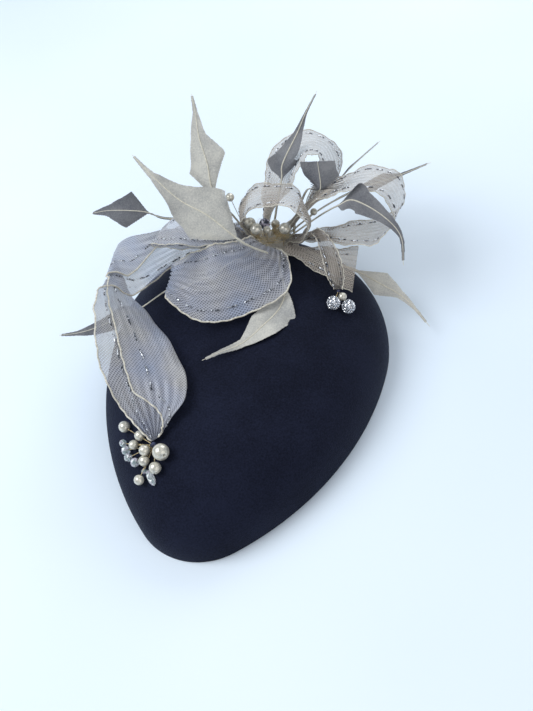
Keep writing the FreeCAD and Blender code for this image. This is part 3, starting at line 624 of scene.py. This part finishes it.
# Not a known width: the strip shows 11 mm, and 30 mm is set to suit the gathered mesh's area.
SELVAGE_THIN = 0.3
THREAD_RADIUS = 0.55
THREAD_PLACES = (0.15, 0.86)   # shares of the width
COOL_RIBBONS = ("left_tail_ribbon", "left_loop_ribbon", "front_loop_ribbon")
SELVAGE_RADIUS = {"left_tail_ribbon": 0.55, "front_loop_ribbon": 0.55}
STITCH_LONG = 5
STITCH_GAP = 2


def pleat_height(width):
    """Depth of the gathers where 50 mm of ribbon is drawn into a narrower width."""
    spare = math.sqrt(max((RIBBON_FLAT / max(width, 1.0)) ** 2 - 1, 0.0))
    return min(RIPPLE + 1.2 * spare * width / PLEATS / (2 * math.pi), PLEAT_MOST)


def fold_share(reach, length):
    """How far the left tail's right side is folded back over it, from none to most."""
    rise = min(max((reach / length - FOLD_STARTS) / FOLD_OPENS, 0.0), 1.0)
    fall = min(max((1.0 - reach / length) / FOLD_CLOSES, 0.0), 1.0)
    return FOLD_MOST * rise * fall


def ribbon_rows(stations, folded, columns, phase):
    """Rows of surface points along a ribbon, with its gathers, waves and fold."""
    left, right, normal, reach = strip_edges(stations, SAMPLES_PER_SPAN)
    length = reach[-1]
    rows, uvs = [], []
    for a, b, up, at in zip(left, right, normal, reach):
        width = np.linalg.norm(b - a)
        height = pleat_height(width)
        fold = fold_share(at, length) if folded else 0.0
        facing = up if up.dot(FRONT_UP) > 0 else -up
        row, uv = [], []
        for k in range(columns):
            v = k / (columns - 1) * (1 + fold)
            inside = v if v <= 1 else 2 - v
            edge = abs(2 * inside - 1)
            wave = math.sin(2 * math.pi * PLEATS * inside + phase + 0.035 * at)
            lift = height * wave * (0.7 + 0.3 * math.sin(0.11 * at + 5 * inside + phase))
            lift += EDGE_WAVE * edge ** 4 * math.sin(
                2 * math.pi * at / EDGE_WAVE_LONG + phase + 2 * inside)
            point = a + (b - a) * inside + up * lift
            if v > 1:
                point = point + facing * FOLD_GAP * min((v - 1) / 0.06, 1.0) ** 0.5
            row.append(point)
            uv.append((at, RIBBON_FLAT * v))
        rows.append(row)
        uvs.append(uv)
    return rows, uvs, length


def edge_path(rows, column, beside, lift):
    """A line along the ribbon near one column, lifted off the cloth in a wave."""
    path = []
    for number, row in enumerate(rows):
        across = row[beside] - row[column]
        size = max(np.linalg.norm(across), 1e-6)
        run = rows[min(number + 1, len(rows) - 1)][column] - rows[max(number - 1, 0)][column]
        up = np.cross(run, across)
        up = up / max(np.linalg.norm(up), 1e-6)
        sway = 0.4 * math.sin(number * 1.15)
        path.append(row[column] + across / size * sway * 0.6 + up * lift * math.sin(number * 0.9))
    return np.array(path)


def make_ribbon(node, number):
    """One crin ribbon: woven cloth, wavy selvage cords and metallic threads."""
    stations = RIBBONS[node]
    folded = node == "left_tail_ribbon"
    columns = 97 if folded else 73
    rows, uvs, length = ribbon_rows(stations, folded, columns, 0.8 * number)
    name = node.replace("_ribbon", "")
    cloth = Form()
    cloth.grid(rows, uvs)
    cloth = cloth.piece(name + "_crin", COOL_CRIN if node in COOL_RIBBONS else WARM_CRIN)
    cords = Form()
    for column, beside in ((0, 1), (columns - 1, columns - 2)):
        cords.tube(edge_path(rows, column, beside, 0.25), SELVAGE_RADIUS.get(node, SELVAGE_THIN), 6)
    cords = cords.piece(name + "_selvage", SELVAGE)
    threads = Form()
    for share in THREAD_PLACES:
        column = int(share * (columns - 1))
        line = edge_path(rows, column, column + 1, 0.2)
        for start in range(2, len(line) - STITCH_LONG, STITCH_LONG + STITCH_GAP):
            threads.tube(line[start:start + STITCH_LONG], THREAD_RADIUS, 5)
    threads = threads.piece(name + "_threads", PAINTED_GLINT_THREAD)
    place(cloth, "crin", node)
    place(cords, "crin")
    place(threads, "crin")


# ------------------------------------------------------------------------ feathers
# Feathers given the darker feather material, painted shade for feathers that stand in shadow.
SHADED_FEATHER_NODES = ("short_left_feather", "square_feather", "hooked_feather", "far_right_feather",
             "back_right_feather", "low_left_feather", "tall_right_feather")
BARB_STEP = 0.4
BARB_LEAN = 0.66
BARB_ARCH = 0.07
SPLIT_CHANCE = 0.009
SPLIT_TURN = 0.16
SPLIT_HEALS = 0.02
BARB_SHORTEST = 0.7
REACH_MOST = 30
REACH_STEP = 0.25


def barb_reach(at, lean, reach, widths, length):
    """How far out a barb that leaves the quill at one place gets to the cut outline."""
    size = 0.0
    while size < REACH_MOST:
        ahead = at + size * math.tan(lean)
        if ahead > length or size >= np.interp(ahead, reach, widths) / 2:
            return size
        size += REACH_STEP
    return size


def make_feather(node):
    """A tapering quill and two rows of separate barbs shaped to the vane's outline."""
    stations = FEATHERS[node]
    per_span = 14
    left, right, normal, reach = strip_edges(stations, per_span)
    middle = (left + right) / 2
    across = unit(right - left)
    runs = unit(np.gradient(middle, axis=0))
    places = np.linspace(0, len(stations) - 1, len(middle))
    widths = np.interp(places, range(len(stations)), [s[2] for s in stations])
    length = reach[-1]
    quill = Form()
    thick = np.interp(reach / length, (0, 0.6, 1), (0.62, 0.45, 0.16))
    quill.tube(middle, thick, 7)
    quill = quill.piece(node.replace("_feather", "_quill"), QUILL)

    vane = Form()
    at = 0.0
    part = 0.0
    while at < length:
        local = [np.array([np.interp(at, reach, track[:, k]) for k in range(3)])
                 for track in (middle, across, runs, normal)]
        point, side, run, up = local
        for way in (-1, 1):
            if rng.random() < SPLIT_CHANCE:
                part = SPLIT_TURN
            lean = BARB_LEAN - part
            size = barb_reach(at, lean, reach, widths, length)
            if size < BARB_SHORTEST:
                continue
            spine = []
            for t in np.linspace(0, 1, 6):
                lift = BARB_ARCH * size * math.sin(2.6 * t) + 0.03 * math.sin(1.9 * at)
                spine.append(point + way * side * size * t + run * size * math.tan(lean) * t
                             + up * lift)
            spine = np.array(spine)
            thin = np.array([0.34, 0.36, 0.36, 0.36, 0.34, 0.30])
            edge = unit(np.cross(np.gradient(spine, axis=0), up)) * thin[:, None]
            vane.grid([spine - edge, spine + edge])
        part = max(part - SPLIT_HEALS, 0.0)
        at += BARB_STEP
    # Feathers in the shaded list get the darker material, which is painted shade.
    dark = node in SHADED_FEATHER_NODES
    vane = vane.piece(node.replace("_feather", "_vane"), PAINTED_SHADE_FEATHER if dark else PALE_FEATHER)
    place(quill, "feather", node)
    place(vane, "feather", node)


# --------------------------------------------------------------------------- beads
def axes_for(direction):
    """Three unit axes, the last along the direction."""
    along = unit(np.asarray(direction, float))
    helper = (0, 0, 1) if abs(along[2]) < 0.9 else (1, 0, 0)
    first = unit(np.cross(helper, along))
    return first, np.cross(along, first), along


def add_bead(form, centre, diameter, direction=(0.3, 0.2, 1.0), turns=28, rings=18):
    """A drilled bead: a ball whose poles dip into the wire's hole."""
    first, second, along = axes_for(direction)
    radius = diameter / 2
    rows = []
    for ring in range(rings + 1):
        angle = math.pi * ring / rings
        flare = math.sin(angle)
        high = math.cos(angle)
        if ring in (0, rings):
            flare, high = 0.06, high * 0.80
        rows.append([np.asarray(centre) + radius * (high * along + max(flare, 0.06) * (
            math.cos(t) * first + math.sin(t) * second))
            for t in np.linspace(0, 2 * math.pi, turns + 1)])
    form.grid(rows)


def add_cut_stone(form, centre, diameter, direction, stretch=1.0, sides=8, squash=1.0):
    """A faceted stone: rings of flat facets, each ring turned half a facet."""
    first, second, along = axes_for(direction)
    radius = diameter / 2
    profile = ((0.0, 1.0), (0.5, 0.86), (0.88, 0.45), (1.0, 0.0), (0.88, -0.45), (0.5, -0.86),
               (0.0, -1.0))
    points, faces, starts = [], [], []
    for number, (wide, high) in enumerate(profile):
        starts.append(len(points))
        count = 1 if wide == 0 else sides
        for k in range(count):
            turn = (k + 0.5 * (number % 2)) * 2 * math.pi / sides
            points.append(np.asarray(centre) + radius * (
                high * stretch * along + wide * (math.cos(turn) * first
                                                 + squash * math.sin(turn) * second)))
    for number in range(len(profile) - 1):
        low, high = starts[number], starts[number + 1]
        for k in range(sides):
            nxt = (k + 1) % sides
            if number == 0:
                faces.append((low, high + k, high + nxt))
            elif number == len(profile) - 2:
                faces.append((high, low + nxt, low + k))
            elif number % 2:
                faces.append((low + k, high + k, low + nxt))
                faces.append((low + nxt, high + k, high + nxt))
            else:
                faces.append((low + k, high + k, high + nxt))
                faces.append((low + k, high + nxt, low + nxt))
    form.add(points, faces)


def add_twisted_wire(form, start, end, radius=0.22, pitch=2.6):
    """Two fine wires twisted together."""
    start = np.asarray(start, float)
    end = np.asarray(end, float)
    length = np.linalg.norm(end - start)
    first, second, along = axes_for(end - start)
    steps = max(int(length / 0.45), 6)
    for strand in (0, math.pi):
        path = []
        for t in np.linspace(0, 1, steps):
            turn = strand + 2 * math.pi * t * length / pitch
            path.append(start + along * t * length
                        + 0.16 * (math.cos(turn) * first + math.sin(turn) * second))
        form.tube(path, radius * 0.62, 5)


def add_wrapped_knot(form, centre, radius, turns=9):
    """Thread wound over itself into a small ball."""
    path = []
    for t in np.linspace(0, 1, turns * 20):
        turn = 2 * math.pi * turns * t
        tilt = math.pi * (0.12 + 0.76 * t)
        lean = 0.55 * math.sin(2.3 * turn)
        path.append(np.asarray(centre) + radius * 0.84 * np.array([
            math.cos(turn) * math.cos(0.4 * lean),
            math.sin(turn) * math.cos(tilt) - 0.2 * math.sin(tilt),
            math.sin(turn) * math.sin(tilt)]))
    form.tube(path, radius * 0.16, 6)
    add_bead(form, centre, radius * 1.5, turns=12, rings=8)


def make_pearls(name, node, beads, knot=None):
    """A group of pearls, each drilled along its own wire."""
    form = Form()
    for number, (centre, diameter) in enumerate(beads):
        way = np.asarray(centre) - knot if knot is not None else (0.2, 0.3 * number - 0.5, 1.0)
        add_bead(form, centre, diameter, way)
    place(form.piece(name, PEARL), "pearl", node)


PAVING_STONES = 92


def make_rhinestone_balls():
    """Balls paved with small cut stones in rows."""
    core, stones = Form(), Form()
    for centre, diameter in RHINESTONE_BALLS:
        add_bead(core, centre, diameter * 0.86, turns=24, rings=14)
        for k in range(PAVING_STONES):
            high = 1 - 2 * (k + 0.5) / PAVING_STONES
            turn = k * math.pi * (3 - math.sqrt(5))
            flat = math.sqrt(1 - high * high)
            way = np.array([flat * math.cos(turn), flat * math.sin(turn), high])
            seat = np.asarray(centre) + way * diameter * 0.445
            first, second, along = axes_for(way)
            rows = ((0.92, 0.0), (0.86, 0.28), (0.46, 0.55))
            points, faces, sides = [], [], 6
            for wide, rise in rows:
                for s in range(sides):
                    a = s * 2 * math.pi / sides
                    points.append(seat + 0.86 * wide * (math.cos(a) * first + math.sin(a) * second)
                                  + along * rise)
            for ring in range(len(rows) - 1):
                for s in range(sides):
                    a, b = ring * sides + s, ring * sides + (s + 1) % sides
                    faces.append((a, b, b + sides, a + sides))
            top = (len(rows) - 1) * sides
            faces.append(tuple(range(top, top + sides)))
            stones.add(points, faces)
    place(core.piece("rhinestone_cores", SILVER), "rhinestone", "rhinestone_balls")
    place(stones.piece("rhinestone_paving", SILVER, smooth=False), "rhinestone",
          "rhinestone_balls")


NET_MIDDLE = (4.0, 91.5, 61.0)
NET_LONG = 11.0
NET_WIDE = 6.5
NET_STRANDS = 26
TUFT_LOOPS = 22


def make_mesh_tuft():
    """A crumpled tuft of gold wire mesh: closed wires wandering over a lumpy ball."""
    form = Form()
    centre = np.array(MESH_TUFT[0], float)
    radius = MESH_TUFT[1] / 2
    for _ in range(TUFT_LOOPS):
        first, second, along = axes_for([rng.gauss(0, 1) for axis in range(3)])
        shift = rng.uniform(-0.7, 0.7)
        flat = math.sqrt(1 - shift * shift)
        waves = rng.randint(3, 6)
        phase = rng.uniform(0, 6.28)
        path = []
        for t in np.linspace(0, 2 * math.pi, 60):
            size = radius * (0.9 + 0.1 * math.sin(waves * t + phase))
            path.append(centre + size * (flat * math.cos(t) * first + flat * math.sin(t) * second
                                         + (shift + 0.12 * math.sin(waves * t)) * along))
        form.tube(path, 0.13, 4)
    middle = np.array(NET_MIDDLE)
    for _ in range(NET_STRANDS):
        start = rng.uniform(0, 6.28)
        high = rng.uniform(-5.0, 4.0)
        path = []
        for t in np.linspace(0, 1.4 * math.pi, 34):
            size = 1 + 0.22 * math.sin(5 * t + start)
            path.append(middle + np.array([NET_LONG * size * math.cos(t + start),
                                           NET_WIDE * size * math.sin(t + start),
                                           high + 2.2 * math.sin(3 * t + 2 * start)]))
        form.tube(path, 0.1, 4)
    place(form.piece("gold_mesh_tuft", GOLD), "gold_mesh", "mesh_tuft")


def make_beads():
    """Every bead group, its wires and its knots."""
    make_pearls("centre_pearl_beads", "centre_pearls", CENTRE_PEARLS)
    make_pearls("stray_pearl_beads", "wired_pearls", WIRED_PEARLS)
    make_pearls("spray_pearl_beads", "spray_pearls", SPRAY_PEARLS, np.array(SPRAY_KNOT))
    make_pearls("spray_big_pearl", "spray_large_pearl", SPRAY_LARGE, np.array(SPRAY_KNOT))
    make_pearls("tail_pearl_bead", "tail_pearl", TAIL_PEARL)

    dark = Form()
    for centre, diameter in CENTRE_CRYSTALS:
        add_cut_stone(dark, centre, diameter, (0.2, -0.4, 1.0))
    place(dark.piece("centre_dark_crystal", DARK_STONE, smooth=False), "crystal", "centre_crystal")
    clear = Form()
    for centre, diameter in SPRAY_CRYSTALS:
        add_cut_stone(clear, centre, diameter, (rng.gauss(0, 1), rng.gauss(0, 1), 1.0))
    place(clear.piece("spray_cut_crystals", CLEAR_STONE, smooth=False), "crystal",
          "spray_crystals")
    leaf = Form()
    start, end = (np.array(p, float) for p in LEAF_ENDS)
    long = np.linalg.norm(end - start)
    add_cut_stone(leaf, (start + end) / 2, LEAF_WIDE, end - start, long / LEAF_WIDE, 8, 0.7)
    place(leaf.piece("pointed_leaf_crystal", CLEAR_STONE, smooth=False), "crystal", "leaf_crystal")

    centre_runs = [(foot, centre) for foot, (centre, _)
                   in zip(CENTRE_FEET, CENTRE_PEARLS + CENTRE_CRYSTALS)]
    stray_runs = [(foot, centre) for foot, (centre, _) in zip(WIRED_FEET, WIRED_PEARLS)]
    spray_runs = [(SPRAY_KNOT, centre) for centre, _
                  in SPRAY_PEARLS + SPRAY_LARGE + SPRAY_CRYSTALS]
    tail_runs = [(TAIL_KNOT, RHINESTONE_BALLS[0][0]), (TAIL_KNOT, TAIL_PEARL[0][0]),
                 (TAIL_PEARL[0][0], RHINESTONE_BALLS[1][0])]
    for name, node, runs in (("centre_twisted_wires", "centre_stems", centre_runs),
                             ("stray_twisted_wires", "wired_pearl_stems", stray_runs),
                             ("spray_twisted_wires", "spray_stems", spray_runs),
                             ("tail_twisted_links", "tail_links", tail_runs)):
        wires = Form()
        for start, end in runs:
            add_twisted_wire(wires, start, end)
        place(wires.piece(name, GOLD), "bead_wire", node)

    knot = Form()
    add_wrapped_knot(knot, SPRAY_KNOT, KNOT_RADIUS)
    place(knot.piece("spray_thread_knot", NAVY_THREAD), "thread", "spray_knot")
    knot = Form()
    add_wrapped_knot(knot, TAIL_KNOT, TAIL_KNOT_RADIUS, 6)
    place(knot.piece("tail_thread_knot", NAVY_THREAD), "thread", "tail_knot")
    make_rhinestone_balls()
    make_mesh_tuft()


# ------------------------------------------------------------ carried-over CAD nodes
KEPT = {"felt_shell": FELT, "edge_wire": NAVY_THREAD, "lining": LINING,
        "petersham_band": PETERSHAM, "comb": STEEL, "comb_stitches": NAVY_THREAD,
        "elastic_loops": NAVY_THREAD, "trim_pad": BUCKRAM}


def dress_cad_nodes():
    """Give each CAD node that stays its finished material."""
    for node, material in KEPT.items():
        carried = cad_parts[node]
        for slot in carried.material_slots:
            slot.material = material


# ------------------------------------------------------------- floor, light, camera
FLOOR_HIGH = -0.6
FLOOR_HALF = 6000
FLOOR_PROFILE = ((-5000, FLOOR_HIGH), (0, FLOOR_HIGH), (3000, FLOOR_HIGH), (4200, 150),
                 (5000, 900), (5300, 3000))   # (y, z) from the front edge up the backdrop
LIGHT_AIM = (0, 30, 40)
SKY = (0.82, 0.9, 1.0, 1.0)
SKY_STRENGTH = 0.40
CAMERA_LENS = 52.15
CAMERA_EYE = (179.1, -374.8, 564.2)
CAMERA_BACK = (0.2356, -0.5688, 0.788)
CAMERA_RIGHT = (0.9623, 0.2505, -0.1069)


def make_stage():
    """Pale floor that curves up into a backdrop far behind."""
    form = Form()
    rows = []
    for y, z in FLOOR_PROFILE:
        rows.append([(x, y, z) for x in np.linspace(-FLOOR_HALF, FLOOR_HALF, 9)])
    form.grid(rows)
    s = Shader("pale_floor")
    cloud = s.noise(3.0, 2.0)
    s.colour(s.ramp(cloud, [(0.3, (0.76, 0.85, 0.95)), (0.7, (0.82, 0.90, 0.98))]))
    s.set(Roughness=0.9)
    form.piece("floor", s.material)


def add_light(name, place_mm, power, size, colour):
    """A soft square light aimed at the trim."""
    data = bpy.data.lights.new(name, "AREA")
    data.energy = power
    data.size = size
    data.color = colour
    light = bpy.data.objects.new(name, data)
    light.location = Vector(place_mm) * MM
    aim = Vector(LIGHT_AIM) * MM - light.location
    light.rotation_euler = aim.to_track_quat("-Z", "Y").to_euler()
    bpy.context.scene.collection.objects.link(light)


def make_lights():
    """Daylight from the upper left, a weak fill, a light behind and a pale surround."""
    add_light("window_light", (-650, -250, 900), 9.5, 0.7, (0.93, 0.97, 1.0))
    add_light("fill_light", (700, -500, 500), 2.4, 0.8, (1.0, 0.97, 0.93))
    add_light("back_light", (150, 800, 600), 3.6, 0.6, (0.95, 0.98, 1.0))
    world = bpy.data.worlds.new("surround")
    world.use_nodes = True
    background = world.node_tree.nodes["Background"]
    background.inputs["Color"].default_value = SKY
    background.inputs["Strength"].default_value = SKY_STRENGTH
    bpy.context.scene.world = world


def make_camera():
    """Camera at the viewing angle: from the front, above, and rolled a little."""
    data = bpy.data.cameras.new("view")
    data.lens = CAMERA_LENS
    data.sensor_width = 36.0
    data.sensor_fit = "AUTO"
    camera = bpy.data.objects.new("view", data)
    back = Vector(CAMERA_BACK).normalized()
    right = Vector(CAMERA_RIGHT)
    right = (right - back * right.dot(back)).normalized()
    up = back.cross(right)
    turn = Matrix((right, up, back)).transposed()
    eye = Vector(CAMERA_EYE) * MM
    camera.matrix_world = Matrix.Translation(eye) @ turn.to_4x4()
    bpy.context.scene.collection.objects.link(camera)
    bpy.context.scene.camera = camera


bpy.context.scene.view_settings.view_transform = "Standard"
make_camera()
make_stage()
make_lights()
dress_cad_nodes()
for order, ribbon in enumerate(RIBBONS):
    make_ribbon(ribbon, order)
for feather in FEATHERS:
    make_feather(feather)
make_beads()
